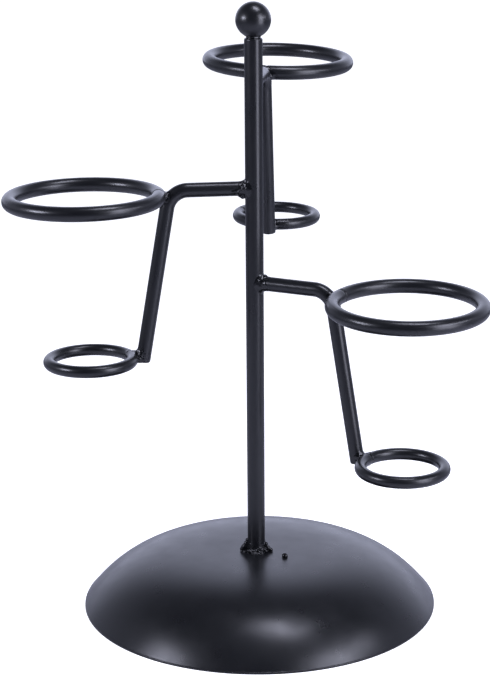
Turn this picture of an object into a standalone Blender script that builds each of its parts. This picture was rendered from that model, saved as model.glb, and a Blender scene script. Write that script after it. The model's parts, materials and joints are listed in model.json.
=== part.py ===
"""Counter stand for three food cones, welded from round steel bar on a dished sheet base.

Each arm is one bar with a level stub, one bend and a leg that leans outward. It
carries a large ring above a small one, and a tapered cone drops through both.
Lengths are in metres, with +Z up. Named angles are in radians, and those of a Tier
or a Seat in degrees. The stand is modelled with its base on z = 0 and its post on the
Z axis. The last step moves it so that the middle of its footprint lies at the origin.
"""

import math
from dataclasses import dataclass

import bmesh
import bpy
from mathutils import Matrix, Vector

# Sizes of the bars, the sheet and the ball. The bars are stock sizes of 10, 8 and
# 6.5 mm, measured over a coat about 0.12 mm thick.
POST_DIAMETER = 0.01025
ARM_BAR = 0.00825
LARGE_RING_BAR = 0.00825
SMALL_RING_BAR = 0.00675
SHEET = 0.0012
BALL_DIAMETER = 0.0198

# The base and the post, which was welded on a little to one side of the base's middle.
BASE_DIAMETER = 0.207
BASE_OFFSET = 0.0017  # from the post's axis to the base's, along +X
DOME_HEIGHT = 0.031
DOME_ROUNDNESS = 4.4  # power of the dish curve: 2 is a paraboloid, more has a flatter top
RIM_HEIGHT = 0.0013
RIM_ROUNDING = 0.0005
POST_TOP = 0.3313
NECK_HEIGHT = 0.0009
NECK_DIAMETER = 0.0082

# The bent arms.
STUB_REACH = 0.0475  # from the post's axis to where the stub and the leg would cross
BEND_RADIUS = 0.012
LEG_LEAN = math.radians(9.8)
LEG_LENGTH = 0.0998

# The rings, measured inside. A drop is from the stub's axis down to the ring's axis.
LARGE_RING_BORE = 0.074
SMALL_RING_BORE = 0.040
LARGE_RING_DROP = 0.0015
SMALL_RING_DROP = 0.095
SEAM_GAP = 0.0005

# Fits and edges.
GAP = 0.0003  # between pieces that a weld bead joins
EDGE = 0.0004
WELD_SPREAD = 0.0055
WELD_DEPTH = 0.0038
COLLAR_REACH = 0.0055
COLLAR_HEIGHT = 0.0022
FOOT_BEAD = 0.0032

# How finely round shapes are divided.
BAR_SIDES = 12
POST_SIDES = 24
RING_STEPS = 40
BEND_STEPS = 7
DOME_STEPS = 48
DOME_RINGS = 12
BALL_STEPS = 24
NECK_RINGS = 4
RIM_STEPS = 3
WELD_DETAIL = 2

POST_RADIUS = POST_DIAMETER / 2
ARM_RADIUS = ARM_BAR / 2
BASE_RADIUS = BASE_DIAMETER / 2
BALL_RADIUS = BALL_DIAMETER / 2

BLACK = (0.012, 0.012, 0.014, 1.0)
X_AXIS = Vector((1.0, 0.0, 0.0))
Y_AXIS = Vector((0.0, 1.0, 0.0))
Z_AXIS = Vector((0.0, 0.0, 1.0))


@dataclass(frozen=True)
class Seat:
    """How a ring is welded to its arm, in degrees.

    The swing turns the ring's middle round the arm, seen from above. The droop
    lowers its far side, and the bank raises its left side, seen from the arm.
    """

    swing: float
    droop: float
    bank: float


@dataclass(frozen=True)
class Tier:
    """One arm and its two rings.

    The height is that of the stub's axis above the table, as a share of the post's top.
    The azimuth, in degrees, is the arm's round the post from +X.
    """

    name: str
    height: float
    azimuth: float
    large: Seat
    small: Seat


TIERS = (
    Tier("low", 0.5856, -26.5, Seat(-7, 1, 1.5), Seat(-12, 0.5, 0.5)),
    Tier("middle", 0.7501, 187, Seat(8.5, 0.5, 0), Seat(12.5, 0, 0.5)),
    Tier("high", 0.9276, 82.5, Seat(-2.5, -2, 2), Seat(-2, -1, 1)),
)


@dataclass(frozen=True)
class Ring:
    """One size of ring: its bar, its bore and where it meets the arm."""

    name: str
    bar: float
    bore: float
    contact: Vector  # on the arm's axis, in the arm's own upright plane
    normal: Vector  # from there through the point where ring and arm touch
    reach: float  # level distance from the arm's axis to the near side of the ring's axis
    drop: float

    @property
    def radius(self):
        """Radius of the bar's axis."""
        return (self.bore + self.bar) / 2


def clear_scene():
    """Remove every object of the open file."""
    for obj in list(bpy.data.objects):
        bpy.data.objects.remove(obj, do_unlink=True)


def coated_steel(name):
    """A satin black powder coat over steel.

    Args:
        name: The piece that wears it.

    Returns:
        The new material.
    """
    material = bpy.data.materials.new(name + "_coat")
    material.use_nodes = True
    shader = material.node_tree.nodes["Principled BSDF"]
    shader.inputs["Base Color"].default_value = BLACK
    shader.inputs["Roughness"].default_value = 0.38
    shader.inputs["Metallic"].default_value = 0.0
    return material


def add_object(name, mesh, parent=None):
    """Put a mesh in the scene under a name, with its own coat and smooth shading."""
    obj = bpy.data.objects.new(name, mesh)
    bpy.context.scene.collection.objects.link(obj)
    obj.parent = parent
    mesh.shade_smooth()
    mesh.set_sharp_from_angle(angle=math.radians(35))
    if not mesh.materials:
        mesh.materials.append(None)
    obj.material_slots[0].link = "OBJECT"
    obj.material_slots[0].material = coated_steel(name)
    return obj


def add_cutter(name, mesh, parent=None):
    """Put a mesh in the scene as a tool that only cuts other pieces."""
    cutter = bpy.data.objects.new(name, mesh)
    bpy.context.scene.collection.objects.link(cutter)
    cutter.parent = parent
    cutter.hide_render = True
    cutter.display_type = "WIRE"
    return cutter


def cut(obj, cutter):
    """Take the cutter's volume out of the object."""
    modifier = obj.modifiers.new("cut_by_" + cutter.name, "BOOLEAN")
    modifier.operation = "DIFFERENCE"
    modifier.object = cutter


def bridge(bm, first, second):
    """Join two loops of as many vertices with faces."""
    for index, vertex in enumerate(first):
        after = (index + 1) % len(first)
        bm.faces.new((vertex, first[after], second[after], second[index]))


def finish_mesh(bm, name):
    """Turn a bmesh into a mesh whose faces all look outward."""
    bmesh.ops.recalc_face_normals(bm, faces=bm.faces)
    mesh = bpy.data.meshes.new(name)
    bm.to_mesh(mesh)
    bm.free()
    return mesh


def turned_mesh(name, profile, steps):
    """Turn a closed profile round the Z axis.

    Args:
        name: The mesh's name.
        profile: A list of (radius, height). A radius of zero makes a pole. Without a
            pole at both ends the last point joins the first, which makes a ring.
        steps: How many steps go round.

    Returns:
        The new mesh.
    """
    bm = bmesh.new()
    loops = []
    for radius, height in profile:
        if radius == 0:
            loops.append([bm.verts.new((0, 0, height))])
            continue
        turns = (math.tau * step / steps for step in range(steps))
        loops.append([bm.verts.new((radius * math.cos(a), radius * math.sin(a), height)) for a in turns])
    pairs = list(zip(loops, loops[1:]))
    if profile[0][0] > 0:
        pairs.append((loops[-1], loops[0]))
    for first, second in pairs:
        if len(first) == 1 or len(second) == 1:
            pole, loop = sorted((first, second), key=len)
            for index, vertex in enumerate(loop):
                bm.faces.new((pole[0], vertex, loop[(index + 1) % len(loop)]))
        else:
            bridge(bm, first, second)
    return finish_mesh(bm, name)


def bar_mesh(name, path, radius, side, closed=False):
    """Sweep a round bar along a flat path.

    Args:
        name: The mesh's name.
        path: A list of (point, direction) along the bar's axis.
        radius: The bar's radius.
        side: The unit vector square to the plane that the path lies in.
        closed: Whether the bar joins up with itself. An open one gets flat,
            lightly chamfered ends.

    Returns:
        The new mesh.
    """
    stations = [(point, direction, radius) for point, direction in path]
    if not closed:
        for place, inward in ((0, 1), (-1, -1)):
            point, direction, _ = stations[place]
            stations[place] = (point + inward * EDGE * direction, direction, radius)
            stations.insert(0 if place == 0 else len(stations), (point, direction, radius - EDGE))
    bm = bmesh.new()
    loops = []
    for point, direction, size in stations:
        across = side.cross(direction)
        turns = (math.tau * (step + 0.5) / BAR_SIDES for step in range(BAR_SIDES))
        loops.append([bm.verts.new(point + size * (math.cos(a) * across + math.sin(a) * side)) for a in turns])
    for first, second in zip(loops, loops[1:]):
        bridge(bm, first, second)
    if closed:
        bridge(bm, loops[-1], loops[0])
    else:
        bm.faces.new(loops[0])
        bm.faces.new(loops[-1])
    return finish_mesh(bm, name)


def dome_height(radius, sheet=0.0):
    """Height of the dished base's outer face at a distance from its own axis.

    Args:
        radius: The distance.
        sheet: The sheet's thickness, for the inner face instead.

    Returns:
        The height above the table.
    """
    rise = DOME_HEIGHT - RIM_HEIGHT
    return RIM_HEIGHT - sheet + rise * (1 - (radius / BASE_RADIUS) ** DOME_ROUNDNESS)


def arm_path(beyond):
    """The arm's axis in its own upright plane, with the stub along +X from the post's axis.

    Args:
        beyond: How far past the leg's end the path goes.

    Returns:
        A list of (point, direction).
    """
    turn = math.pi / 2 - LEG_LEAN
    bend_start = STUB_REACH - BEND_RADIUS * math.tan(turn / 2)
    path = [(Vector(), X_AXIS)]
    for step in range(BEND_STEPS + 1):
        angle = turn * step / BEND_STEPS
        outward = Vector((math.sin(angle), 0, math.cos(angle)))
        along = Vector((math.cos(angle), 0, -math.sin(angle)))
        path.append((X_AXIS * bend_start + BEND_RADIUS * (outward - Z_AXIS), along))
    leg = path[-1][1]
    path.append((X_AXIS * STUB_REACH + leg * (LEG_LENGTH + beyond), leg))
    return path


def ring_path(ring, seam):
    """The ring's axis in its own plane, with its side next to the arm at the origin.

    Args:
        ring: The ring.
        seam: The gap between its ends, which face each other next to the arm.

    Returns:
        A list of (point, direction).
    """
    half_seam = seam / 2 / ring.radius
    whole = math.tau - 2 * half_seam
    count = RING_STEPS if seam else RING_STEPS - 1
    path = []
    for step in range(count + 1):
        angle = math.pi + half_seam + whole * step / RING_STEPS
        outward = Vector((math.cos(angle), math.sin(angle), 0))
        path.append((ring.radius * (X_AXIS + outward), Z_AXIS.cross(outward)))
    return path


def large_ring():
    """The large ring, which touches the outside of the arm's bend."""
    turn = math.pi / 2 - LEG_LEAN
    bend_start = STUB_REACH - BEND_RADIUS * math.tan(turn / 2)
    touching = ARM_RADIUS + GAP + LARGE_RING_BAR / 2
    rise = BEND_RADIUS - LARGE_RING_DROP
    outward = math.sqrt((BEND_RADIUS + touching) ** 2 - rise**2)
    normal = Vector((outward, 0, rise)).normalized()
    contact = Vector((bend_start, 0, -BEND_RADIUS)) + BEND_RADIUS * normal
    reach = bend_start + outward - contact.x
    return Ring("large_ring", LARGE_RING_BAR, LARGE_RING_BORE, contact, normal, reach, LARGE_RING_DROP)


def small_ring():
    """The small ring, which touches the outside of the arm's leg."""
    touching = ARM_RADIUS + GAP + SMALL_RING_BAR / 2
    normal = Vector((math.cos(LEG_LEAN), 0, math.sin(LEG_LEAN)))
    on_leg = Vector((STUB_REACH + SMALL_RING_DROP * math.tan(LEG_LEAN), 0, -SMALL_RING_DROP))
    reach = touching / math.cos(LEG_LEAN)
    return Ring("small_ring", SMALL_RING_BAR, SMALL_RING_BORE, on_leg, normal, reach, SMALL_RING_DROP)


def make_dome_base(root):
    """The dished sheet base, hollow underneath and open at the bottom."""
    shares = [math.sin(math.pi / 2 * step / DOME_RINGS) for step in range(DOME_RINGS)]
    shoulder = BASE_RADIUS - RIM_ROUNDING
    profile = [(shoulder * share, dome_height(BASE_RADIUS * share)) for share in shares]
    for step in range(RIM_STEPS + 1):
        angle = math.pi / 2 * step / RIM_STEPS
        height = RIM_HEIGHT - RIM_ROUNDING + RIM_ROUNDING * math.cos(angle)
        profile.append((shoulder + RIM_ROUNDING * math.sin(angle), height))
    profile.append((BASE_RADIUS, 0.0))
    profile.append((BASE_RADIUS - SHEET, 0.0))
    inner_rim = BASE_RADIUS - SHEET
    profile.append((inner_rim, dome_height(BASE_RADIUS, SHEET)))
    profile += [(inner_rim * share, dome_height(BASE_RADIUS * share, SHEET)) for share in reversed(shares)]
    dome = add_object("dome_base", turned_mesh("dome_base", profile, DOME_STEPS), root)
    dome.location.x = BASE_OFFSET


def cylinder_mesh(name, radius, length, sides):
    """A plain upright cylinder that stands on z = 0."""
    profile = [(0, length), (radius, length), (radius, 0), (0, 0)]
    return turned_mesh(name, profile, sides)


def make_post(root):
    """The upright bar, butted onto the dome."""
    foot = DOME_HEIGHT + GAP
    profile = [
        (0, POST_TOP),
        (POST_RADIUS - EDGE, POST_TOP),
        (POST_RADIUS, POST_TOP - EDGE),
        (POST_RADIUS, foot),
        (0, foot),
    ]
    add_object("post", turned_mesh("post", profile, POST_SIDES), root)


def make_foot_weld(root):
    """The fillet bead round the post's foot, which swells and thins as it goes round."""
    bm = bmesh.new()
    inner = POST_RADIUS + GAP
    loops = []
    for step in range(POST_SIDES):
        angle = math.tau * step / POST_SIDES
        size = FOOT_BEAD * (1 + 0.2 * math.cos(2 * angle) + 0.1 * math.cos(5 * angle + 1))
        toe = inner + size
        sheet_at = [
            dome_height(math.hypot(r * math.cos(angle) - BASE_OFFSET, r * math.sin(angle))) + GAP for r in (inner, toe)
        ]
        section = (
            (inner, sheet_at[0]),
            (toe, sheet_at[1]),
            (inner + 0.75 * size, sheet_at[0] + 0.55 * size),
            (inner + 0.3 * size, sheet_at[0] + 0.85 * size),
            (inner, sheet_at[0] + size),
        )
        loops.append([bm.verts.new((r * math.cos(angle), r * math.sin(angle), z)) for r, z in section])
    for first, second in zip(loops, loops[1:] + loops[:1]):
        bridge(bm, first, second)
    add_object("foot_weld", finish_mesh(bm, "foot_weld"), root)


def make_finial(root):
    """The ball and the short neck of weld that it stands on."""
    middle = POST_TOP + NECK_HEIGHT + BALL_RADIUS
    half = BALL_STEPS // 2
    turns = [math.pi * step / half for step in range(half + 1)]
    profile = [(BALL_RADIUS * math.sin(turn), BALL_RADIUS * math.cos(turn)) for turn in turns]
    profile[0] = (0, BALL_RADIUS)
    profile[-1] = (0, -BALL_RADIUS)
    ball = add_object("ball_finial", turned_mesh("ball_finial", profile, BALL_STEPS), root)
    ball.location = (0, 0, middle)

    neck = NECK_DIAMETER / 2
    seat = POST_TOP + GAP
    radii = [neck * step / NECK_RINGS for step in range(NECK_RINGS + 1)]
    profile = [(radius, middle - math.sqrt((BALL_RADIUS + GAP) ** 2 - radius**2)) for radius in radii]
    profile += [(neck, seat), (0, seat)]
    add_object("finial_weld", turned_mesh("finial_weld", profile, POST_SIDES), root)


def weld_blob(name, place, normal, spread, depth):
    """A flattened ball of weld metal, before its neighbours are cut out of it.

    Args:
        name: The mesh's name.
        place: Its middle.
        normal: The direction that it is flattened along.
        spread: Its radius square to the normal.
        depth: Its radius along the normal.

    Returns:
        The new mesh.
    """
    bm = bmesh.new()
    bmesh.ops.create_icosphere(bm, subdivisions=WELD_DETAIL, radius=1.0)
    turn = normal.to_track_quat("Z", "Y").to_matrix().to_4x4()
    shape = Matrix.Diagonal((spread, spread, depth, 1.0))
    bmesh.ops.transform(bm, matrix=Matrix.Translation(place) @ turn @ shape, verts=bm.verts)
    return finish_mesh(bm, name)


def make_arm(tier, frame, post_cutter):
    """One bent arm, coped to the post, and the collar of weld that holds it there.

    Returns:
        A cutter a little larger than the arm, for the other welds.
    """
    name = tier.name + "_arm"
    arm = add_object(name, bar_mesh(name, arm_path(0.0), ARM_RADIUS, Y_AXIS), frame)
    cut(arm, post_cutter)
    arm_cutter = add_cutter(name + "_cutter", bar_mesh(name, arm_path(2 * GAP), ARM_RADIUS + GAP, Y_AXIS), frame)

    name = tier.name + "_arm_weld"
    spread = ARM_RADIUS + COLLAR_HEIGHT
    collar = add_object(name, weld_blob(name, X_AXIS * POST_RADIUS, X_AXIS, spread, COLLAR_REACH), frame)
    cut(collar, post_cutter)
    cut(collar, arm_cutter)
    return arm_cutter


def make_ring(tier, ring, seat, frame, arm_cutter):
    """One ring with its butted ends at the arm, and the weld between the two."""
    name = f"{tier.name}_{ring.name}"
    swing = math.radians(seat.swing)
    aside = Vector((math.cos(swing), math.sin(swing), 0))
    place = Vector((ring.contact.x, 0, -ring.drop)) + ring.reach * aside
    path = ring_path(ring, SEAM_GAP)
    piece = add_object(name, bar_mesh(name, path, ring.bar / 2, Z_AXIS), frame)
    whole = bar_mesh(name, ring_path(ring, 0), ring.bar / 2 + GAP, Z_AXIS, closed=True)
    ring_cutter = add_cutter(name + "_cutter", whole, frame)
    for obj in (piece, ring_cutter):
        obj.location = place
        obj.rotation_euler = (math.radians(seat.bank), math.radians(seat.droop), swing)

    name += "_weld"
    touch = ring.contact + ring.normal * (ARM_RADIUS + GAP / 2)
    weld = add_object(name, weld_blob(name, touch, ring.normal, WELD_SPREAD, WELD_DEPTH), frame)
    cut(weld, arm_cutter)
    cut(weld, ring_cutter)


def centre_footprint(root):
    """Move the stand so that the middle of its bounding box lies over the origin."""
    bpy.context.view_layer.update()
    corners = [
        obj.matrix_world @ Vector(corner)
        for obj in root.children_recursive
        if obj.type == "MESH" and not obj.hide_render
        for corner in (vertex.co for vertex in obj.data.vertices)
    ]
    for axis in (0, 1):
        values = [corner[axis] for corner in corners]
        root.location[axis] = -(min(values) + max(values)) / 2


def main():
    """Build the whole stand."""
    clear_scene()
    root = bpy.data.objects.new("cone_stand", None)
    bpy.context.scene.collection.objects.link(root)
    make_dome_base(root)
    make_post(root)
    make_foot_weld(root)
    make_finial(root)
    post_space = cylinder_mesh("post_cutter", POST_RADIUS + GAP, POST_TOP, POST_SIDES)
    post_cutter = add_cutter("post_cutter", post_space, root)
    for tier in TIERS:
        frame = bpy.data.objects.new(tier.name + "_tier", None)
        bpy.context.scene.collection.objects.link(frame)
        frame.parent = root
        frame.location = (0, 0, POST_TOP * tier.height)
        frame.rotation_euler.z = math.radians(tier.azimuth)
        arm_cutter = make_arm(tier, frame, post_cutter)
        make_ring(tier, large_ring(), tier.large, frame, arm_cutter)
        make_ring(tier, small_ring(), tier.small, frame, arm_cutter)
    centre_footprint(root)


main()
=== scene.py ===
"""The looks of a counter stand for three food cones, welded from round bar and powder coated.

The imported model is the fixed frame. Each of its welded pieces gets a finer twin here, with the
same size in the same place: a pressed dome, drawn bars with sawn ends, rolled rings with their
butt seams, and weld beads that run smoothly into the bars they join.
All lengths are in metres, with +Z up.
"""

import itertools
import json
import logging
import math
from collections.abc import Callable, Iterable, Sequence
from dataclasses import dataclass, field
from enum import Enum

import bmesh
import bpy
import numpy as np
from mathutils import Euler, Matrix, Vector

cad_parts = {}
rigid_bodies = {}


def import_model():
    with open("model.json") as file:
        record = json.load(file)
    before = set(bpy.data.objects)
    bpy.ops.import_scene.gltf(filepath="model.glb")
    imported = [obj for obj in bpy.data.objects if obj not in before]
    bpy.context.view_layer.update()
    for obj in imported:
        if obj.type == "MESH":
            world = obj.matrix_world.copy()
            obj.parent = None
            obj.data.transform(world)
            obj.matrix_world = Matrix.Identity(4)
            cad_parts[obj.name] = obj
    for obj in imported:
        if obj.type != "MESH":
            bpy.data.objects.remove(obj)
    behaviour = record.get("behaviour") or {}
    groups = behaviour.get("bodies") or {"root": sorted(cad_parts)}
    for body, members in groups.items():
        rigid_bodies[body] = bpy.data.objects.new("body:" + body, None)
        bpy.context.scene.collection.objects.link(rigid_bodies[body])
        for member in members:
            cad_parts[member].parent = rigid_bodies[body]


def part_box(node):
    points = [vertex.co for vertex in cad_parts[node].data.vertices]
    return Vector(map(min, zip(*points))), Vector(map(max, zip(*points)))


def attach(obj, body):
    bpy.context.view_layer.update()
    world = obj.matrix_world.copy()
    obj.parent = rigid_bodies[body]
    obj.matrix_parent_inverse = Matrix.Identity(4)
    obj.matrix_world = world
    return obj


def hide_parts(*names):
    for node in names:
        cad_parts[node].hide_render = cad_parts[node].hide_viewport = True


for leftover in list(bpy.data.objects):
    bpy.data.objects.remove(leftover, do_unlink=True)
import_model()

LOG = logging.getLogger("cone_stand")
BODY = "root"
MM = 0.001
MICRON = 1e-6
FAR = 1.0  # a distance well beyond the stand
FINE_SEED = 50  # added to a weld's own seed for its fine lumps
PIT_SEED = 900  # and for its craters

# The table of random values, and three large primes that scatter neighbouring cells over it.
RANDOM_VALUES = 4096
SCATTER = (73856093, 19349663, 83492791)

Points = np.ndarray
Faces = list[tuple[int, ...]]
Distance = Callable[[Points], np.ndarray]


class RingSize(Enum):
    """The two rings of an arm, by the name that their nodes carry."""

    LARGE = "large_ring"
    SMALL = "small_ring"


# ---------------------------------------------------------------- helpers


def linear(code: str) -> tuple[float, float, float, float]:
    """Turn an sRGB hex code into a linear colour.

    Args:
        code: Six hex digits after a hash, such as "#1a1b1e".

    Returns:
        Red, green, blue and an alpha of one.
    """
    channels = [int(code[place : place + 2], 16) / 255 for place in (1, 3, 5)]
    bent = [c / 12.92 if c <= 0.04045 else ((c + 0.055) / 1.055) ** 2.4 for c in channels]
    return (bent[0], bent[1], bent[2], 1.0)


def add_node(
    tree: bpy.types.NodeTree, kind: str, links: dict[str | int, object], **settings: object
) -> bpy.types.Node:
    """Add one node with its settings, values and links.

    Args:
        tree: The node tree that it goes into.
        kind: The node's type name.
        links: For each input, by name or number, a socket to link from or a value to set.
        **settings: Attributes of the node itself, such as its operation.

    Returns:
        The new node.
    """
    node = tree.nodes.new(kind)
    for name, value in settings.items():
        setattr(node, name, value)
    for name, value in links.items():
        if isinstance(value, bpy.types.NodeSocket):
            tree.links.new(value, node.inputs[name])
        else:
            node.inputs[name].default_value = value
    return node


def lumpy(points: Points, size: float, seed: int) -> np.ndarray:
    """Smooth random values between -1 and 1, the same each time.

    Args:
        points: Where they are wanted, one row each.
        size: The distance over which they change.
        seed: Which of the random patterns is used.

    Returns:
        One value for each point.
    """
    table = np.random.default_rng(seed).uniform(-1, 1, RANDOM_VALUES)
    cell = points / size
    corner = np.floor(cell).astype(np.int64)
    ease = (cell - corner) ** 2 * (3 - 2 * (cell - corner))
    total = np.zeros(len(points))
    for step in itertools.product((0, 1), repeat=3):
        near = corner + np.array(step)
        mixed = near[:, 0] * SCATTER[0] ^ near[:, 1] * SCATTER[1] ^ near[:, 2] * SCATTER[2]
        weight = np.prod(np.where(step, ease, 1 - ease), axis=1)
        total += weight * table[mixed % len(table)]
    return total


def smooth_union(first: np.ndarray, second: np.ndarray, blend: float) -> np.ndarray:
    """Join two distance fields with a fillet.

    Args:
        first: Distances to the first shape, negative inside.
        second: Distances to the second.
        blend: How far from the crease the fillet starts.

    Returns:
        Distances to the joined shape.
    """
    share = np.clip(0.5 + 0.5 * (second - first) / blend, 0, 1)
    return second + (first - second) * share - blend * share * (1 - share)


def strip(first: Sequence[int], second: Sequence[int], closed: bool = True) -> Faces:
    """Faces between two rows of as many points.

    Args:
        first: Point numbers of one row.
        second: Point numbers of the other.
        closed: Whether the last column joins the first.

    Returns:
        One quad for each column.
    """
    columns = len(first) if closed else len(first) - 1
    after = [(column + 1) % len(first) for column in range(columns)]
    return [(first[c], first[n], second[n], second[c]) for c, n in enumerate(after)]


def rounded_edge(size: float, steps: int) -> list[tuple[float, float]]:
    """The quarter circle of a broken edge.

    Args:
        size: Its radius.
        steps: How many steps it takes.

    Returns:
        For each point, how far it lies in from the end and in from the side.
    """
    turns = [math.pi / 2 * step / steps for step in range(steps + 1)]
    return [(size * (1 - math.sin(turn)), size * (1 - math.cos(turn))) for turn in turns]


def add_piece(
    name: str, points: Points, faces: Faces, node: str | None, finish: bpy.types.Material
) -> bpy.types.Object:
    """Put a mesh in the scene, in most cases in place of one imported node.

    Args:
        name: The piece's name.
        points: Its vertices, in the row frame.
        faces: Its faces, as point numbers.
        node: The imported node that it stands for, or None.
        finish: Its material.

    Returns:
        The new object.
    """
    bm = bmesh.new()
    corners = [bm.verts.new(point) for point in points]
    for face in faces:
        bm.faces.new([corners[index] for index in face])
    bmesh.ops.recalc_face_normals(bm, faces=bm.faces)
    mesh = bpy.data.meshes.new(name)
    bm.to_mesh(mesh)
    bm.free()
    mesh.shade_smooth()
    mesh.materials.append(finish)
    piece = bpy.data.objects.new(name, mesh)
    bpy.context.scene.collection.objects.link(piece)
    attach(piece, BODY)
    if node is None:
        LOG.info("%s: %d faces, stands for no node", name, len(mesh.polygons))
        return piece
    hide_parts(node)
    low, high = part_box(node)
    size = " x ".join(f"{value / MM:.1f}" for value in high - low)
    LOG.info("%s: %d faces, stands for %s of %s mm", name, len(mesh.polygons), node, size)
    return piece


def swept_bar(
    centres: Points, along: Points, side: Points, radii: Sequence[float], sides: int
) -> tuple[Points, Faces]:
    """Sweep a round bar along a path that lies in one plane.

    Args:
        centres: Points of the bar's axis.
        along: The axis's direction at each.
        side: The direction square to the path's plane.
        radii: The bar's radius at each point. The two ends are closed.
        sides: How many sides the bar has.

    Returns:
        The bar's points and faces.
    """
    turns = math.tau * (np.arange(sides) + 0.5) / sides
    across = np.cross(side, along)
    rows = (
        centres[:, None, :]
        + np.array(radii)[:, None, None]
        * (np.cos(turns)[None, :, None] * across[:, None, :] + np.sin(turns)[None, :, None] * side)
    )
    points = np.vstack([rows.reshape(-1, 3), centres[:1], centres[-1:]])
    rings = [list(range(row * sides, (row + 1) * sides)) for row in range(len(centres))]
    faces = [face for first, second in zip(rings, rings[1:]) for face in strip(first, second)]
    for ring, pole in ((rings[0], len(points) - 2), (rings[-1], len(points) - 1)):
        faces += [(ring[c], ring[(c + 1) % sides], pole) for c in range(sides)]
    return points, faces


def turned(profile: Sequence[tuple[float, float]], around: int) -> tuple[Points, Faces]:
    """Turn a profile round the Z axis.

    Args:
        profile: Pairs of radius and height. The first and the last lie on the axis.
        around: How many steps go round.

    Returns:
        The points and faces.
    """
    turns = math.tau * np.arange(around) / around
    circle = np.stack([np.cos(turns), np.sin(turns), np.zeros(around)], axis=1)
    inner = profile[1:-1]
    rows = [circle * radius + [0, 0, height] for radius, height in inner]
    points = np.vstack([[0, 0, profile[0][1]], *rows, [0, 0, profile[-1][1]]])
    rings = [list(range(1 + row * around, 1 + (row + 1) * around)) for row in range(len(inner))]
    faces = [face for first, second in zip(rings, rings[1:]) for face in strip(first, second)]
    for ring, pole in ((rings[0], 0), (rings[-1], len(points) - 1)):
        faces += [(ring[c], ring[(c + 1) % around], pole) for c in range(around)]
    return points, faces


def unit_ball(detail: int) -> tuple[Points, Faces]:
    """A ball of radius one, made of triangles.

    Args:
        detail: How many times its sides are split.

    Returns:
        Its points, which are also the directions from its middle, and its faces.
    """
    ball = bmesh.new()
    bmesh.ops.create_icosphere(ball, subdivisions=detail, radius=1.0)
    ways = np.array([vertex.co for vertex in ball.verts])
    faces = [tuple(vertex.index for vertex in face.verts) for face in ball.faces]
    ball.free()
    return ways, faces


# ---------------------------------------------------------------- finishes


@dataclass(frozen=True)
class Ramp:
    """A change from one result to another, between a start and an end."""

    start: float
    end: float
    first: float
    last: float

    def links(self, value: bpy.types.NodeSocket) -> dict[str, object]:
        """What a node needs to apply it to a value."""
        names = ("Value", "From Min", "From Max", "To Min", "To Max")
        return dict(zip(names, (value, self.start, self.end, self.first, self.last)))


@dataclass(frozen=True)
class PowderCoat:
    """Satin black polyester powder coat, sprayed dry on blasted steel and baked.

    The powder melts into a skin some 80 microns thick that hides the metal. It levels
    almost, but not quite, which leaves the shallow swells called orange peel. To the eye it
    is a near black with a soft, slightly blurred reflection, which goes milky where the
    surface turns away, and with a nib here and there where a grain of dust was baked in.
    """

    name: str
    colour: str = "#121315"
    thin: str = "#17181b"
    smooth_roughness: float = 0.27
    dull_roughness: float = 0.33
    cloud_size: float = 35 * MM
    flow_size: float = 11 * MM
    flow_low: float = 0.3
    flow_high: float = 0.7
    peel_size: float = 3.2 * MM
    peel_depth: float = 5 * MICRON
    grain_size: float = 0.7 * MM
    grain_depth: float = 2.2 * MICRON
    nib_spacing: float = 14 * MM
    nib_size: float = 0.45 * MM
    nib_height: float = 60 * MICRON

    def material(self) -> bpy.types.Material:
        """Build the coat's material.

        Returns:
            The new material.
        """
        material = bpy.data.materials.new(self.name)
        material.use_nodes = True
        tree = material.node_tree
        shader = tree.nodes["Principled BSDF"]
        shader.inputs["IOR"].default_value = 1.5
        shader.inputs["Metallic"].default_value = 0.0
        place = add_node(tree, "ShaderNodeTexCoord", {}).outputs["Object"]
        # The real peel, 1 to 2 mm wide, is finer than the render shows, so it is drawn coarser.
        cloud, flow, peel, grain = (
            add_node(tree, "ShaderNodeTexNoise", {"Vector": place, "Scale": 1 / size, "Detail": detail})
            for size, detail in (
                (self.cloud_size, 2.0),
                (self.flow_size, 3.0),
                (self.peel_size, 2.0),
                (self.grain_size, 3.0),
            )
        )
        # The coat is a little thinner in some patches a few centimetres wide.
        colour = add_node(
            tree,
            "ShaderNodeMix",
            {"Factor": cloud.outputs["Fac"], "A": linear(self.colour), "B": linear(self.thin)},
            data_type="RGBA",
        )
        # It also flows a little better in some patches than in others.
        gloss = Ramp(self.flow_low, self.flow_high, self.smooth_roughness, self.dull_roughness)
        roughness = add_node(tree, "ShaderNodeMapRange", gloss.links(flow.outputs["Fac"]))
        to_nib = add_node(tree, "ShaderNodeTexVoronoi", {"Vector": place, "Scale": 1 / self.nib_spacing})
        nearness = Ramp(0.0, self.nib_size / self.nib_spacing, 1.0, 0.0).links(to_nib.outputs["Distance"])
        nib = add_node(tree, "ShaderNodeMapRange", nearness, interpolation_type="SMOOTHSTEP")
        reliefs = (
            (peel.outputs["Fac"], self.peel_depth),
            (grain.outputs["Fac"], self.grain_depth),
            (nib.outputs["Result"], self.nib_height),
        )
        below = {}
        for relief, depth in reliefs:
            bump = add_node(
                tree, "ShaderNodeBump", {"Height": relief, "Distance": depth, "Strength": 1.0} | below
            )
            below = {"Normal": bump.outputs["Normal"]}
        tree.links.new(colour.outputs["Result"], shader.inputs["Base Color"])
        tree.links.new(roughness.outputs["Result"], shader.inputs["Roughness"])
        tree.links.new(bump.outputs["Normal"], shader.inputs["Normal"])
        return material


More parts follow.
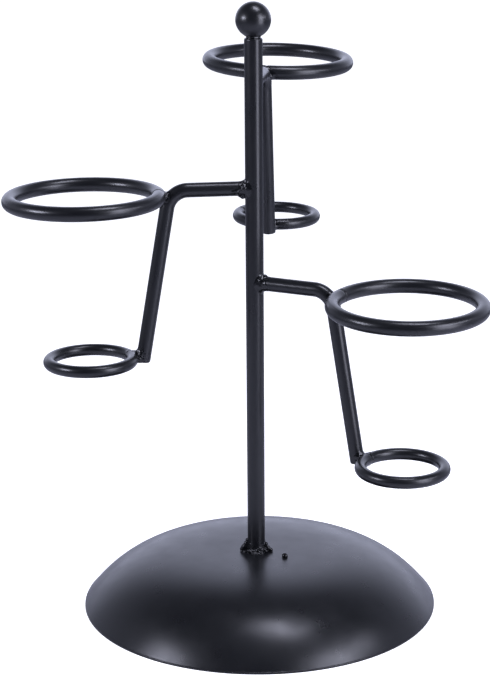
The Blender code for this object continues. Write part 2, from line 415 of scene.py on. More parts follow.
@dataclass(frozen=True)
class PaperSweep:
    """Matt white background paper.

    The camera sees it overexposed, as paper behind goods for sale is, so it glows for the
    camera alone. What the coat mirrors is the paper as the lamps light it.
    """

    name: str = "white_background_paper"
    colour: str = "#e9eaf2"
    shaded: str = "#e4e5ee"
    seen_glow: float = 0.92
    fibre: float = 2 * MM

    def material(self) -> bpy.types.Material:
        """Build the paper's material.

        Returns:
            The new material.
        """
        material = bpy.data.materials.new(self.name)
        material.use_nodes = True
        tree = material.node_tree
        tree.nodes.clear()
        place = add_node(tree, "ShaderNodeTexCoord", {}).outputs["Object"]
        fibre = add_node(
            tree, "ShaderNodeTexNoise", {"Vector": place, "Scale": 1 / self.fibre, "Detail": 3.0}
        )
        tint = add_node(
            tree,
            "ShaderNodeMix",
            {"Factor": fibre.outputs["Fac"], "A": linear(self.colour), "B": linear(self.shaded)},
            data_type="RGBA",
        ).outputs["Result"]
        matt = {"Base Color": tint, "Roughness": 0.9, "IOR": 1.45}
        lit = add_node(tree, "ShaderNodeBsdfPrincipled", matt)
        glow = {"Emission Color": (1.0, 1.0, 1.0, 1.0), "Emission Strength": self.seen_glow}
        seen = add_node(tree, "ShaderNodeBsdfPrincipled", matt | glow)
        path = add_node(tree, "ShaderNodeLightPath", {})
        mixed = add_node(
            tree,
            "ShaderNodeMixShader",
            {0: path.outputs["Is Camera Ray"], 1: lit.outputs["BSDF"], 2: seen.outputs["BSDF"]},
        )
        add_node(tree, "ShaderNodeOutputMaterial", {"Surface": mixed.outputs["Shader"]})
        return material


# ---------------------------------------------------------------- the frame's pieces


@dataclass
class RoundPiece:
    """A round upright piece, whose size and place are those of its node's box."""

    finish: bpy.types.Material
    node: str
    low: Vector = field(init=False)
    high: Vector = field(init=False)

    def __post_init__(self) -> None:
        """Read the node's box."""
        self.low, self.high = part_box(self.node)

    @property
    def radius(self) -> float:
        """Radius over its outside."""
        return (self.high.x - self.low.x) / 2

    @property
    def axis(self) -> np.ndarray:
        """Where its axis meets the floor."""
        middle = (self.low + self.high) / 2
        return np.array([middle.x, middle.y, 0.0])


@dataclass
class DomeBase(RoundPiece):
    """The base, pressed from thin sheet into a dish with a turned-down rim."""

    node: str = "dome_base"
    sheet: float = 1.2 * MM
    roundness: float = 4.4
    rim_height: float = 1.3 * MM
    rim_rounding: float = 0.5 * MM
    edge: float = 0.2 * MM
    around: int = 288
    rows: int = 72
    rim_steps: int = 5
    waviness: float = 0.035 * MM
    wave_length: float = 38 * MM
    calm_power: int = 8  # keeps the stiff rim flat, and lets the rest wave
    seed: int = 5

    def height(self, share: np.ndarray | float, sheet: float = 0.0) -> np.ndarray | float:
        """Height of the outer face, or of the inner face.

        Args:
            share: Distance from the base's axis, as a share of its radius.
            sheet: Zero for the outer face, and the sheet's thickness for the inner one.

        Returns:
            The height above the floor.
        """
        rise = self.high.z - self.rim_height
        return self.rim_height - sheet + rise * (1 - np.clip(share, 0, 1) ** self.roundness)

    def above(self, points: Points) -> np.ndarray:
        """Height of each point above the outer face, negative in the sheet."""
        reach = np.hypot(points[:, 0] - self.axis[0], points[:, 1] - self.axis[1])
        return points[:, 2] - self.height(reach / self.radius)

    def profile(self) -> list[tuple[float, float]]:
        """The section of the sheet, from the top of the axis round the rim to its underside.

        Returns:
            Pairs of radius and height.
        """
        shares = [math.sin(math.pi / 2 * row / self.rows) for row in range(self.rows)]
        shoulder = self.radius - self.rim_rounding
        inner = self.radius - self.sheet
        outline = [(shoulder * share, self.height(share)) for share in shares]
        for inward, aside in reversed(rounded_edge(self.rim_rounding, self.rim_steps)):
            outline.append((self.radius - aside, self.rim_height - inward))
        # The sheared lower edge, with its corners softened by the coat.
        for radius, outward in ((self.radius, -1), (inner, 1)):
            cut = 0.3 * self.edge
            corner = [(radius, self.edge), (radius + outward * cut, cut)]
            corner.append((radius + outward * self.edge, 0.0))
            outline += corner if outward < 0 else reversed(corner)
        outline.append((inner, self.height(1.0, self.sheet)))
        return outline + [(inner * share, self.height(share, self.sheet)) for share in reversed(shares)]

    def build(self) -> bpy.types.Object:
        """Build the dome.

        Returns:
            The finished piece.
        """
        points, faces = turned(self.profile(), self.around)
        # Press and heat leave the sheet very slightly wavy, which bends its reflections.
        calm = 1 - (np.hypot(points[:, 0], points[:, 1]) / self.radius) ** self.calm_power
        flat = points * [1, 1, 0]
        points[:, 2] += self.waviness * calm * lumpy(flat, self.wave_length, self.seed)
        return add_piece("pressed_dome", points + self.axis, faces, self.node, self.finish)


@dataclass
class SpatterBall:
    """A drop that flew off the foot weld and froze onto the dome."""

    finish: bpy.types.Material
    dome: DomeBase
    post: "Post"
    radius: float = 1.7 * MM
    reach: float = 20 * MM
    azimuth: float = math.radians(-33.6)
    sunk: float = 0.9 * MM
    deepest: float = 0.25 * MM
    foot_start: float = 0.35  # where its foot starts below its middle, as a share of its radius
    foot_spread: float = 0.12
    lumps: float = 0.07
    lump_size: float = 0.9
    detail: int = 5
    seed: int = 8

    def build(self) -> bpy.types.Object:
        """Build the ball.

        Returns:
            The finished piece.
        """
        aside = np.array([math.cos(self.azimuth), math.sin(self.azimuth), 0.0])
        middle = self.post.axis + self.reach * aside
        middle[2] = -self.dome.above(middle[None])[0] + self.radius - self.sunk
        ways, faces = unit_ball(self.detail)
        # It wetted the sheet, so its lower side spreads into a small foot.
        spread = self.foot_spread * np.clip(-ways[:, 2] - self.foot_start, 0, None)
        lumps = self.lumps * lumpy(ways, self.lump_size, self.seed)
        points = middle + ways * (self.radius * (1 + lumps + spread))[:, None]
        buried = self.dome.above(points) + self.deepest
        points[:, 2] -= np.minimum(buried, 0)
        return add_piece("weld_spatter", points, faces, None, self.finish)


@dataclass
class Post(RoundPiece):
    """The upright bar, sawn square and with its top edge broken."""

    node: str = "post"
    proud: float = 0.8 * MM
    edge: float = 0.8 * MM
    around: int = 96
    edge_steps: int = 6
    rows: int = 90
    bury: float = 0.8 * MM

    @property
    def top(self) -> float:
        """Height of the bar's end, which the ball's weld pulls up to the ball."""
        return self.high.z + self.proud

    def distance(self, points: Points) -> np.ndarray:
        """Distance from each point to the bar's side, negative inside."""
        return np.hypot(points[:, 0] - self.axis[0], points[:, 1] - self.axis[1]) - self.radius

    def build(self) -> bpy.types.Object:
        """Build the post.

        Returns:
            The finished piece.
        """
        top = self.top
        foot = self.low.z - self.bury
        profile = [(0.0, top), (self.radius - 1.6 * self.edge, top)]
        broken = reversed(rounded_edge(self.edge, self.edge_steps))
        profile += [(self.radius - aside, top - inward) for inward, aside in broken]
        lengths = np.linspace(top - 1.5 * self.edge, foot + self.edge, self.rows)
        profile += [(self.radius, height) for height in lengths]
        profile += [(self.radius, foot), (0.0, foot)]
        points, faces = turned(profile, self.around)
        return add_piece("post_bar", points + self.axis, faces, self.node, self.finish)


@dataclass
class BallFinial:
    """The steel ball on top of the post, and the short neck of weld below it."""

    finish: bpy.types.Material
    weld_finish: bpy.types.Material
    post: Post
    ball_node: str = "ball_finial"
    neck_node: str = "finial_weld"
    neck_radius: float = 4.05 * MM
    flare: float = 0.9 * MM
    bury: float = 0.5 * MM
    lap: float = 0.1 * MM
    neck_steps: int = 12
    around: int = 96
    ball_error: float = 0.03 * MM  # a forged ball is round to a few hundredths
    ball_error_size: float = 7 * MM
    ball_seed: int = 3
    neck_wobble: float = 0.05
    neck_wobble_size: float = 1.6 * MM
    neck_seed: int = 9

    def build(self) -> None:
        """Build the ball and the neck."""
        low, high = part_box(self.ball_node)
        middle = np.array((low + high) / 2)
        radius = (high.z - low.z) / 2
        turns = np.linspace(0, math.pi, self.around // 2 + 1)
        profile = [(radius * math.sin(turn), radius * math.cos(turn)) for turn in turns]
        points, faces = turned(profile, self.around)
        error = lumpy(points, self.ball_error_size, self.ball_seed)
        points *= 1 + self.ball_error / radius * error[:, None]
        add_piece("forged_ball", points + middle, faces, self.ball_node, self.finish)

        top = self.post.top
        seat = middle[2] - math.sqrt(radius**2 - self.neck_radius**2)
        rise = seat + self.bury - top
        profile = [(0.0, top - self.bury), (self.neck_radius + self.flare, top - self.bury)]
        for step in range(self.neck_steps + 1):
            share = step / self.neck_steps
            flare = self.flare * (2 * share - 1) ** 4
            profile.append((self.neck_radius + flare, top - self.lap + rise * share))
        profile.append((0.0, seat + self.bury + self.lap))
        points, faces = turned(profile, self.around)
        wobble = 1 + self.neck_wobble * lumpy(points, self.neck_wobble_size, self.neck_seed)
        points[:, :2] *= wobble[:, None]
        add_piece("finial_neck_bead", points + self.post.axis, faces, self.neck_node, self.weld_finish)


@dataclass(frozen=True)
class Seat:
    """How a ring leans on its arm, in degrees: turned about the arm, drooped and banked."""

    swing: float
    droop: float
    bank: float


@dataclass(frozen=True)
class Bead:
    """A lump of weld metal.

    The place is from the joint's middle, in millimetres: along the arm, to its left seen
    from the post, and up.
    """

    along: float
    left: float
    up: float
    radius: float


@dataclass(frozen=True)
class Joint:
    """How one weld was laid.

    The toe is how far from the joint's middle the bead ends, the pride how much it stands
    above the bars, the blend how wide its fillet is and the rough how high its lumps are, in
    millimetres. The pits are its craters, which the seed places. The beads are lumps added
    to it.
    """

    toe: float = 6.5
    pride: float = 0.45
    blend: float = 4.5
    rough: float = 0.3
    pits: int = 8
    seed: int = 1
    beads: tuple[Bead, ...] = ()


@dataclass
class BentArm:
    """One arm: a bar with a level stub, one bend and a leg that leans outward."""

    finish: bpy.types.Material
    post: Post
    tier: str
    azimuth: float
    stub_reach: float = 47.5 * MM
    bend_radius: float = 12 * MM
    lean: float = math.radians(9.8)
    leg_length: float = 99.8 * MM
    radius: float = 4.125 * MM
    edge: float = 0.9 * MM
    bury: float = 1.5 * MM
    sides: int = 48
    stub_rows: int = 24
    bend_rows: int = 25
    leg_rows: int = 60
    edge_steps: int = 4

    @property
    def node(self) -> str:
        """The arm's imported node."""
        return self.tier + "_arm"

    @property
    def frame(self) -> Matrix:
        """The arm's own frame: along the stub, to its left and up, from the post's axis."""
        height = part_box(self.node)[1].z - self.radius
        place = Matrix.Translation(Vector(self.post.axis) + Vector((0, 0, height)))
        return place @ Matrix.Rotation(math.radians(self.azimuth), 4, "Z")

    @property
    def turn(self) -> float:
        """The angle of the bend."""
        return math.pi / 2 - self.lean

    @property
    def bend_start(self) -> float:
        """Where the bend starts on the stub."""
        return self.stub_reach - self.bend_radius * math.tan(self.turn / 2)

    @property
    def leg_direction(self) -> np.ndarray:
        """The leg's direction, in the arm's frame."""
        return np.array([math.sin(self.lean), 0.0, -math.cos(self.lean)])

    @property
    def leg_start(self) -> np.ndarray:
        """Where the leg starts, in the arm's frame."""
        return np.array(
            [
                self.bend_start + self.bend_radius * math.sin(self.turn),
                0.0,
                self.bend_radius * (math.cos(self.turn) - 1),
            ]
        )

    @property
    def leg_end(self) -> np.ndarray:
        """The middle of the leg's sawn end, in the arm's frame."""
        return np.array([self.stub_reach, 0.0, 0.0]) + self.leg_direction * self.leg_length

    def local(self, points: Points) -> Points:
        """Points of the row frame, in the arm's frame."""
        matrix = np.array(self.frame.inverted())
        return points @ matrix[:3, :3].T + matrix[:3, 3]

    def world(self, points: Points) -> Points:
        """Points of the arm's frame, in the row frame."""
        matrix = np.array(self.frame)
        return points @ matrix[:3, :3].T + matrix[:3, 3]

    def axis_path(self) -> tuple[Points, Points]:
        """The bar's axis in the arm's frame.

        Returns:
            Its points and the direction at each.
        """
        start = self.post.radius - self.bury
        points = [[x, 0.0, 0.0] for x in np.linspace(start, self.bend_start, self.stub_rows)[:-1]]
        along = [[1.0, 0.0, 0.0]] * len(points)
        for angle in np.linspace(0, self.turn, self.bend_rows):
            points.append(
                [
                    self.bend_start + self.bend_radius * math.sin(angle),
                    0.0,
                    self.bend_radius * (math.cos(angle) - 1),
                ]
            )
            along.append([math.cos(angle), 0.0, -math.sin(angle)])
        for share in np.linspace(0, 1, self.leg_rows)[1:]:
            points.append(list(self.leg_start * (1 - share) + self.leg_end * share))
            along.append(list(self.leg_direction))
        return np.array(points), np.array(along)

    def distance(self, points: Points) -> np.ndarray:
        """Distance from points of the row frame to the bar, negative inside.

        Args:
            points: The points, one row each.

        Returns:
            One distance for each.
        """
        p = self.local(points)
        beyond = p[:, 0] - np.clip(p[:, 0], self.post.radius, self.bend_start)
        stub = np.hypot(np.hypot(p[:, 1], p[:, 2]), beyond)
        from_pivot = (p[:, 0] - self.bend_start, p[:, 2] + self.bend_radius)
        angle = np.arctan2(*from_pivot)
        ring = np.hypot(*from_pivot) - self.bend_radius
        bend = np.where((angle >= 0) & (angle <= self.turn), np.hypot(ring, p[:, 1]), FAR)
        from_start = p - self.leg_start
        reach = from_start @ self.leg_direction
        length = np.linalg.norm(self.leg_end - self.leg_start)
        nearest = np.clip(reach, 0, length)[:, None] * self.leg_direction
        leg = np.linalg.norm(from_start - nearest, axis=1)
        # The sawn end is flat, so past it the distance is to a disc.
        aside = np.linalg.norm(from_start - reach[:, None] * self.leg_direction, axis=1)
        past = reach - length
        leg = np.where(past > 0, np.maximum(aside, past + self.radius), leg)
        return np.minimum(np.minimum(stub, bend), leg) - self.radius

    def build(self) -> bpy.types.Object:
        """Build the arm.

        Returns:
            The finished piece.
        """
        centres, along = self.axis_path()
        end = [
            (self.leg_end - inward * self.leg_direction, self.radius - aside)
            for inward, aside in rounded_edge(self.edge, self.edge_steps)
        ]
        end.append((self.leg_end, self.radius - 2 * self.edge))
        centres = np.vstack([centres[:-1], [point for point, _ in end]])
        along = np.vstack([along[:-1], [self.leg_direction] * len(end)])
        radii = [self.radius] * (len(centres) - len(end)) + [radius for _, radius in end]
        points, faces = swept_bar(centres, along, np.array([0.0, 1.0, 0.0]), radii, self.sides)
        return add_piece(self.tier + "_bent_bar", self.world(points), faces, self.node, self.finish)


@dataclass
class WireRing:
    """A ring rolled from bar, whose two sawn ends butt together, mostly near its arm."""

    finish: bpy.types.Material
    arm: BentArm
    size: RingSize
    seat: Seat
    bar: float
    bore: float
    seam_turn: float
    seam: float = 0.5 * MM
    edge: float = 0.7 * MM
    sides: int = 40
    steps: int = 200
    edge_steps: int = 3
    search: float = 30  # degrees each way from its near side, for its contact
    search_steps: int = 240

    @property
    def node(self) -> str:
        """The ring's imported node."""
        return f"{self.arm.tier}_{self.size.value}"

    @property
    def radius(self) -> float:
        """Radius of the bar's axis."""
        return (self.bore + self.bar) / 2

    @property
    def centre(self) -> np.ndarray:
        """The ring's middle, from its node's box."""
        low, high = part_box(self.node)
        return np.array((low + high) / 2)

    @property
    def turned(self) -> np.ndarray:
        """The ring's own axes as columns, the first pointing away from the arm."""
        angles = (self.seat.bank, self.seat.droop, self.seat.swing + self.arm.azimuth)
        return np.array(Euler([math.radians(angle) for angle in angles]).to_matrix())

    def distance(self, points: Points) -> np.ndarray:
        """Distance from points of the row frame to the ring's bar, negative inside."""
        p = (points - self.centre) @ self.turned
        return np.hypot(np.hypot(p[:, 0], p[:, 1]) - self.radius, p[:, 2]) - self.bar / 2

    def contact(self) -> np.ndarray:
        """Where the ring touches its arm.

        Returns:
            The point halfway between the two bars' nearest points.
        """
        angles = math.pi + np.radians(np.linspace(-self.search, self.search, self.search_steps + 1))
        circle = self.radius * np.stack([np.cos(angles), np.sin(angles), np.zeros(len(angles))], axis=1)
        wire = circle @ self.turned.T + self.centre
        nearest = wire[int(np.argmin(self.arm.distance(wire)))]
        steps = 10 * MICRON * np.eye(3)
        slope = self.arm.distance(nearest + steps) - self.arm.distance(nearest - steps)
        return nearest - slope / np.linalg.norm(slope) * self.bar / 2

    def build(self) -> bpy.types.Object:
        """Build the ring.

        Returns:
            The finished piece.
        """
        half = self.seam / 2 / self.radius
        edge = rounded_edge(self.edge, self.edge_steps)
        start = [(half + inward / self.radius, self.bar / 2 - aside) for inward, aside in edge]
        start.append((half, self.bar / 2 - 2 * self.edge))
        cut = half + self.edge / self.radius
        inner = np.linspace(cut, math.tau - cut, self.steps)
        stations = start[::-1] + [(angle, self.bar / 2) for angle in inner[1:-1]]
        stations += [(math.tau - angle, radius) for angle, radius in start]
        angles = math.pi + math.radians(self.seam_turn) + np.array([angle for angle, _ in stations])
        outward = np.stack([np.cos(angles), np.sin(angles), np.zeros(len(angles))], axis=1)
        along = np.stack([-np.sin(angles), np.cos(angles), np.zeros(len(angles))], axis=1)
        radii = [radius for _, radius in stations]
        side = np.array([0.0, 0.0, 1.0])
        points, faces = swept_bar(self.radius * outward, along, side, radii, self.sides)
        points = points @ self.turned.T + self.centre
        return add_piece(f"{self.node}_wire", points, faces, self.node, self.finish)


@dataclass
class WeldBead:
    """The metal of one weld, which runs out into the bars on both sides.

    Its skin is where a blend of the two bars' distance fields, raised near the joint and
    sunk away from it, changes sign. Lumps, craters and added beads roughen it.
    """

    finish: bpy.types.Material
    node: str
    centre: np.ndarray
    axes: np.ndarray
    shapes: tuple[Distance, Distance]
    joint: Joint
    under: Distance | None = None
    reach: float = 12 * MM
    detail: int = 6
    samples: int = 80
    bead_blend: float = 0.9 * MM
    deepest: float = 0.7 * MM
    lump_size: float = 1.9 * MM
    fine_lump_size: float = 0.85 * MM
    calm_from: float = 1.6
    pit_from: float = 0.3  # no crater lies nearer the middle, as a share of the toe
    pit_widths: tuple[float, float] = (0.45, 0.85)
    pit_depth: float = 0.75  # this and the rest are shares of a crater's width
    lip_height: float = 0.16
    lip_place: float = 1.7
    lip_sharpness: float = 4

    def field(self, points: Points) -> np.ndarray:
        """The weld's field at some points, negative inside.

        Args:
            points: The points, one row each.

        Returns:
            One value for each.
        """
        joint = self.joint
        joined = smooth_union(self.shapes[0](points), self.shapes[1](points), joint.blend * MM)
        away = np.linalg.norm(points - self.centre, axis=1)
        share = away / (joint.toe * MM)
        sunk = joined + np.minimum(joint.pride * MM * (share**2 - 1), self.deepest)
        for bead in joint.beads:
            middle = self.centre + self.axes @ (np.array([bead.along, bead.left, bead.up]) * MM)
            ball = np.linalg.norm(points - middle, axis=1) - bead.radius * MM
            sunk = smooth_union(sunk, ball, self.bead_blend)
        if self.under is not None:
            sunk = np.maximum(sunk, self.under(points))
        return sunk

    def build(self) -> bpy.types.Object:
        """Build the bead by looking outward from the joint's middle for its skin.

        Returns:
            The finished piece.
        """
        ways, faces = unit_ball(self.detail)
        steps = np.linspace(0, self.reach, self.samples)
        values = np.stack([self.field(self.centre + ways * step) for step in steps], axis=1)
        outside = values > 0
        outside[:, 0] = False
        found = outside.any(axis=1)
        index = np.where(found, outside.argmax(axis=1), self.samples - 1)
        row = np.arange(len(ways))
        before, after = values[row, index - 1], values[row, index]
        share = np.where(found, before / np.where(found, before - after, 1.0), 1.0)
        lengths = steps[index - 1] + np.clip(share, 0, 1) * (steps[1] - steps[0])
        points = self.centre + ways * self.roughened(ways, lengths)[:, None]
        return add_piece(self.node + "_bead", points, faces, self.node, self.finish)

    def roughened(self, ways: Points, lengths: np.ndarray) -> np.ndarray:
        """Add the ripples, lumps and craters of molten metal that froze.

        Args:
            ways: The directions from the joint's middle.
            lengths: How far the smooth skin lies along each.

        Returns:
            The rough skin's distances.
        """
        joint = self.joint
        skin = ways * lengths[:, None]
        toe = joint.toe * MM
        calm = np.clip(self.calm_from - lengths / toe, 0, 1)
        fine = 0.5 * lumpy(skin, self.fine_lump_size, joint.seed + FINE_SEED)
        rough = joint.rough * MM * (lumpy(skin, self.lump_size, joint.seed) + fine)
        lengths = lengths + rough * calm
        chance = np.random.default_rng(joint.seed + PIT_SEED)
        proud = np.flatnonzero((lengths < toe) & (lengths > self.pit_from * toe))
        if len(proud) == 0:
            return lengths
        for middle in chance.choice(proud, joint.pits):
            width = chance.uniform(*self.pit_widths) * MM
            away = np.linalg.norm(skin - skin[middle], axis=1) / width
            lip = self.lip_height * width * np.exp(-((away - self.lip_place) ** 2) * self.lip_sharpness)
            lengths = lengths - self.pit_depth * width * np.exp(-(away**2)) + lip
        return lengths


# ---------------------------------------------------------------- the studio


@dataclass(frozen=True)
class Softbox:
    """A soft light that faces a point on the post's axis.

    Its place is from the post's foot, in metres: to the right, away from the camera and up.
    The radiance is what a mirror would show.
    """

    name: str
    place: tuple[float, float, float]
    faces: float
    width: float
    height: float
    radiance: float
    colour: str = "#e8eaff"


@dataclass
class Studio:
    """The white sweep, the lights round it and the camera."""

    post: Post
    softboxes: tuple[Softbox, ...]
    camera_distance: float = 1.0511
    camera_height: float = 0.4559
    pitch: float = math.radians(15.665)
    yaw: float = math.radians(-0.315)
    roll: float = math.radians(-0.4354)
    lens: float = 101.47
    nearest: float = 0.05
    farthest: float = 50
    paper_half: float = 4.0
    paper_drop: float = 0.02 * MM
    wall_colour: str = "#dfe4ff"
    wall_brightness: float = 1.9
    open_front: Ramp = Ramp(-0.85, -0.3, 0.06, 1.0)
    dim_top: Ramp = Ramp(0.25, 0.85, 1.0, 0.2)
    back: tuple[float, float, float] = (0.1, 1.0, 0.0)
    bright_back: Ramp = Ramp(0.55, 1.0, 0.28, 1.0)

    def build(self) -> None:
        """Build the floor, the lights, the surroundings and the camera."""
        self.floor()
        for softbox in self.softboxes:
            self.light(softbox)
        self.surroundings()
        self.camera()
        view = bpy.context.scene.view_settings
        view.view_transform = "Standard"
        view.look = "None"
        view.exposure = 0.0
        view.gamma = 1.0

    def floor(self) -> None:
        """Lay the white paper."""
        half, level = self.paper_half, -self.paper_drop
        mesh = bpy.data.meshes.new("paper_floor")
        corners = [(-half, -half, level), (half, -half, level), (half, half, level), (-half, half, level)]
        mesh.from_pydata(corners, [], [(0, 1, 2, 3)])
        mesh.materials.append(PaperSweep().material())
        paper = bpy.data.objects.new("paper_floor", mesh)
        bpy.context.scene.collection.objects.link(paper)
        LOG.info("paper_floor: %.0f m square", 2 * half)

    def light(self, softbox: Softbox) -> None:
        """Hang one soft light.

        Args:
            softbox: Its place, size and brightness.
        """
        data = bpy.data.lights.new(softbox.name, "AREA")
        data.shape = "RECTANGLE"
        data.size = softbox.width
        data.size_y = softbox.height
        data.energy = softbox.radiance * math.pi * softbox.width * softbox.height
        data.color = linear(softbox.colour)[:3]
        lamp = bpy.data.objects.new(softbox.name, data)
        bpy.context.scene.collection.objects.link(lamp)
        foot = Vector(self.post.axis)
        lamp.location = foot + Vector(softbox.place)
        inward = foot + Vector((0, 0, softbox.faces)) - lamp.location
        lamp.rotation_mode = "QUATERNION"
        lamp.rotation_quaternion = inward.to_track_quat("-Z", "Y")
        lamp.visible_camera = False
        LOG.info("%s: radiance %.1f", softbox.name, softbox.radiance)

    def surroundings(self) -> None:
        """Set a white tent behind and beside the stand, and a dim room behind the camera."""
        world = bpy.data.worlds.new("white_tent")
        bpy.context.scene.world = world
        world.use_nodes = True
        tree = world.node_tree
        tree.nodes.clear()
        way = add_node(tree, "ShaderNodeTexCoord", {}).outputs["Generated"]
        axes = add_node(tree, "ShaderNodeSeparateXYZ", {"Vector": way})
        # The tent is open toward the camera. Its walls are bright low down, most of all behind.
        lean = add_node(tree, "ShaderNodeVectorMath", {0: way, 1: self.back}, operation="DOT_PRODUCT")
        shares = (
            (axes.outputs["Y"], self.open_front),
            (axes.outputs["Z"], self.dim_top),
            (lean.outputs["Value"], self.bright_back),
        )
        strength = self.wall_brightness
        for value, ramp in shares:
            factor = add_node(
                tree, "ShaderNodeMapRange", ramp.links(value), interpolation_type="SMOOTHSTEP"
            ).outputs["Result"]
            product = add_node(tree, "ShaderNodeMath", {0: factor, 1: strength}, operation="MULTIPLY")
            strength = product.outputs["Value"]
        seen = add_node(tree, "ShaderNodeBackground", {"Color": (1.0, 1.0, 1.0, 1.0), "Strength": 1.0})
        walls = {"Color": linear(self.wall_colour), "Strength": strength}
        lit = add_node(tree, "ShaderNodeBackground", walls)
        path = add_node(tree, "ShaderNodeLightPath", {})
        mixed = add_node(
            tree,
            "ShaderNodeMixShader",
            {0: path.outputs["Is Camera Ray"], 1: lit.outputs["Background"], 2: seen.outputs["Background"]},
        )
        add_node(tree, "ShaderNodeOutputWorld", {"Surface": mixed.outputs["Shader"]})

    def camera(self) -> None:
        """Place the camera, a little above the stand's top and looking down on it."""
        data = bpy.data.cameras.new("studio_camera")
        data.lens = self.lens
        data.clip_start = self.nearest
        data.clip_end = self.farthest
        camera = bpy.data.objects.new("studio_camera", data)
        bpy.context.scene.collection.objects.link(camera)
        forward = Vector(
            (
                math.sin(self.yaw) * math.cos(self.pitch),
                math.cos(self.yaw) * math.cos(self.pitch),
                -math.sin(self.pitch),
            )
        )
        right = Vector((math.cos(self.yaw), -math.sin(self.yaw), 0))
        up = right.cross(forward)
        rolled_right = math.cos(self.roll) * right + math.sin(self.roll) * up
        rolled_up = -math.sin(self.roll) * right + math.cos(self.roll) * up
        turned_to = Matrix((rolled_right, rolled_up, -forward)).transposed().to_4x4()
        place = Vector(self.post.axis) + Vector((0, -self.camera_distance, self.camera_height))
        camera.matrix_world = Matrix.Translation(place) @ turned_to
        bpy.context.scene.camera = camera


# ---------------------------------------------------------------- the whole stand


@dataclass(frozen=True)
class Tier:
    """One arm with its two rings and three welds.

    A seam's angle, in degrees, is how far round its ring the butted ends lie from the arm.
    """

    name: str
    azimuth: float
    large: Seat
    small: Seat
    large_seam: float
    small_seam: float
    post_joint: Joint
    large_joint: Joint
    small_joint: Joint


FOOT_JOINT = Joint(
    toe=6.4,
    pride=0.25,
    blend=2.4,
    rough=0.45,
    pits=22,
    seed=11,
    beads=(
        Bead(-8.2, -0.9, 0.0, 1.5),
        Bead(-7.0, -0.9, 1.5, 1.9),
        Bead(-6.0, -0.9, 3.7, 1.5),
        Bead(-5.3, -0.9, 6.0, 1.0),
        Bead(-6.6, -3.6, -0.2, 1.5),
        Bead(-4.0, -5.2, 0.4, 1.3),
        Bead(-1.5, -6.3, -0.6, 1.2),
        Bead(0.6, -5.5, 0.7, 1.0),
        Bead(2.8, -5.9, -0.4, 1.4),
        Bead(4.6, -4.0, 0.9, 1.3),
        Bead(5.5, -1.0, 3.3, 1.3),
        Bead(6.6, -1.6, 1.0, 1.6),
        Bead(8.6, -1.8, -0.1, 1.2),
    ),
)

TIERS = (
    Tier(
        "low",
        -26.5,
        Seat(-7, 1, 1.5),
        Seat(-12, 0.5, 0.5),
        4,
        0,
        Joint(toe=5.3, pride=0.2, blend=2.8, rough=0.2, pits=5, seed=21, beads=(Bead(0.9, 0.0, 4.2, 1.2),)),
        Joint(toe=5.6, pride=0.3, blend=3.2, rough=0.4, pits=16, seed=22),
        Joint(toe=5.6, pride=0.35, blend=3.2, rough=0.45, pits=18, seed=23),
    ),
    Tier(
        "middle",
        187,
        Seat(8.5, 0.5, 0),
        Seat(12.5, 0, 0.5),
        -12,
        2,
        Joint(
            toe=5.0,
            pride=0.15,
            blend=2.6,
            rough=0.35,
            pits=12,
            seed=31,
            beads=(
                Bead(0.9, 2.6, 2.6, 1.2),
                Bead(2.4, 3.3, 0.6, 1.4),
                Bead(4.6, 3.2, -0.8, 1.4),
                Bead(6.8, 3.2, -0.9, 1.1),
                Bead(0.8, 0.6, -4.5, 1.4),
                Bead(2.2, 0.8, -3.6, 1.3),
            ),
        ),
        Joint(toe=5.6, pride=0.3, blend=3.2, rough=0.4, pits=16, seed=32),
        Joint(toe=6.2, pride=0.4, blend=3.4, rough=0.45, pits=18, seed=33),
    ),
    Tier(
        "high",
        82.5,
        Seat(-2.5, -2, 2),
        Seat(-2, -1, 1),
        0,
        -100,
        Joint(toe=7.0, pride=0.35, blend=3.5, rough=0.3, pits=5, seed=41),
        Joint(toe=5.8, pride=0.35, blend=3.4, rough=0.4, pits=14, seed=42),
        Joint(toe=5.8, pride=0.35, blend=3.2, rough=0.45, pits=18, seed=43),
    ),
)

# For each size of ring, the bar's thickness over its coat and the ring's bore.
RING_SIZES = {
    RingSize.LARGE: (8.25 * MM, 74 * MM),
    RingSize.SMALL: (6.75 * MM, 40 * MM),
}

SOFTBOXES = (
    Softbox("left_lamp", (-0.50, -0.22, 0.44), 0.03, 0.24, 0.10, 7.5),
    Softbox("right_lamp", (0.50, -0.25, 0.47), 0.03, 0.46, 0.09, 6.5),
    Softbox("right_panel", (0.575, -0.48, 0.45), 0.45, 0.36, 0.80, 5.5),
    Softbox("far_left_lamp", (-0.83, -0.38, 0.55), 0.34, 0.28, 0.20, 18.0),
    Softbox("overhead_strip", (0.17, -0.09, 1.0), 0.02, 0.18, 0.34, 15.0),
)


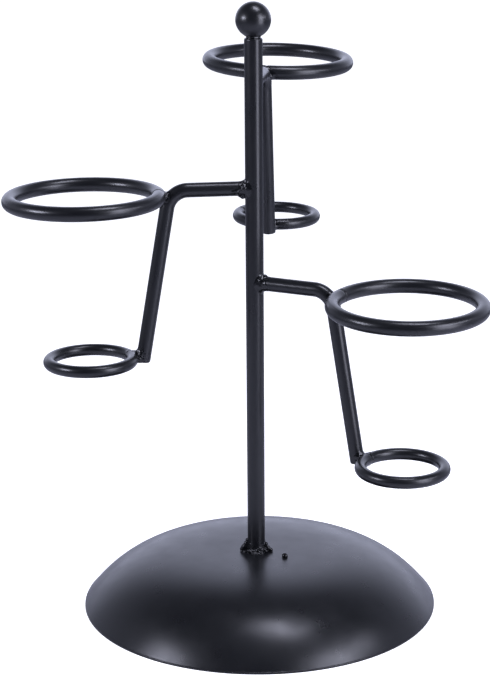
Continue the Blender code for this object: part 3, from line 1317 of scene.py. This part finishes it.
@dataclass
class ConeStand:
    """The whole stand."""

    coat: bpy.types.Material
    weld_coat: bpy.types.Material
    tiers: tuple[Tier, ...]
    foot_weld_rise: float = 1.0 * MM
    foot_weld_reach: float = 16 * MM
    arm_weld_out: float = 0.6 * MM

    def build(self) -> Post:
        """Build every piece.

        Returns:
            The post, by which the studio is placed.
        """
        dome = DomeBase(self.coat)
        dome.build()
        post = Post(self.coat)
        post.build()
        self.foot_weld(dome, post)
        SpatterBall(self.weld_coat, dome, post).build()
        BallFinial(self.coat, self.weld_coat, post).build()
        for tier in self.tiers:
            self.tier(tier, post)
        return post

    def foot_weld(self, dome: DomeBase, post: Post) -> None:
        """Weld the post to the dome.

        Args:
            dome: The base.
            post: The post.
        """

        def below_skin(points: Points) -> np.ndarray:
            """Positive below the middle of the sheet, so that no metal comes out underneath."""
            return -dome.above(points) - dome.sheet / 2

        middle = post.axis + [0, 0, dome.high.z + self.foot_weld_rise]
        WeldBead(
            self.weld_coat,
            "foot_weld",
            middle,
            np.eye(3),
            (post.distance, dome.above),
            FOOT_JOINT,
            under=below_skin,
            reach=self.foot_weld_reach,
        ).build()

    def tier(self, tier: Tier, post: Post) -> None:
        """Build one arm, its rings and its welds.

        Args:
            tier: The arm's facts.
            post: The post that it stands off.
        """
        arm = BentArm(self.coat, post, tier.name, tier.azimuth)
        arm.build()
        axes = np.array(arm.frame.to_3x3())
        root = arm.world(np.array([[post.radius + self.arm_weld_out, 0, 0]]))[0]
        shapes = (post.distance, arm.distance)
        WeldBead(self.weld_coat, f"{arm.node}_weld", root, axes, shapes, tier.post_joint).build()
        rings = (
            (RingSize.LARGE, tier.large, tier.large_seam, tier.large_joint),
            (RingSize.SMALL, tier.small, tier.small_seam, tier.small_joint),
        )
        for size, seat, seam_turn, joint in rings:
            bar, bore = RING_SIZES[size]
            ring = WireRing(self.coat, arm, size, seat, bar, bore, seam_turn)
            ring.build()
            shapes = (arm.distance, ring.distance)
            WeldBead(self.weld_coat, f"{ring.node}_weld", ring.contact(), axes, shapes, joint).build()


def main() -> None:
    """Build the stand's looks and the studio."""
    logging.basicConfig(level=logging.INFO, format="%(message)s")
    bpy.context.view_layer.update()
    coat = PowderCoat("satin_black_powder_coat").material()
    weld_coat = PowderCoat(
        "powder_coat_over_weld",
        colour="#0d0e10",
        thin="#131416",
        smooth_roughness=0.1,
        dull_roughness=0.24,
        peel_size=1.6 * MM,
        peel_depth=25 * MICRON,
        grain_size=0.6 * MM,
        grain_depth=5 * MICRON,
        nib_spacing=4 * MM,
    ).material()
    post = ConeStand(coat, weld_coat, TIERS).build()
    Studio(post, SOFTBOXES).build()


if __name__ == "__main__":
    main()
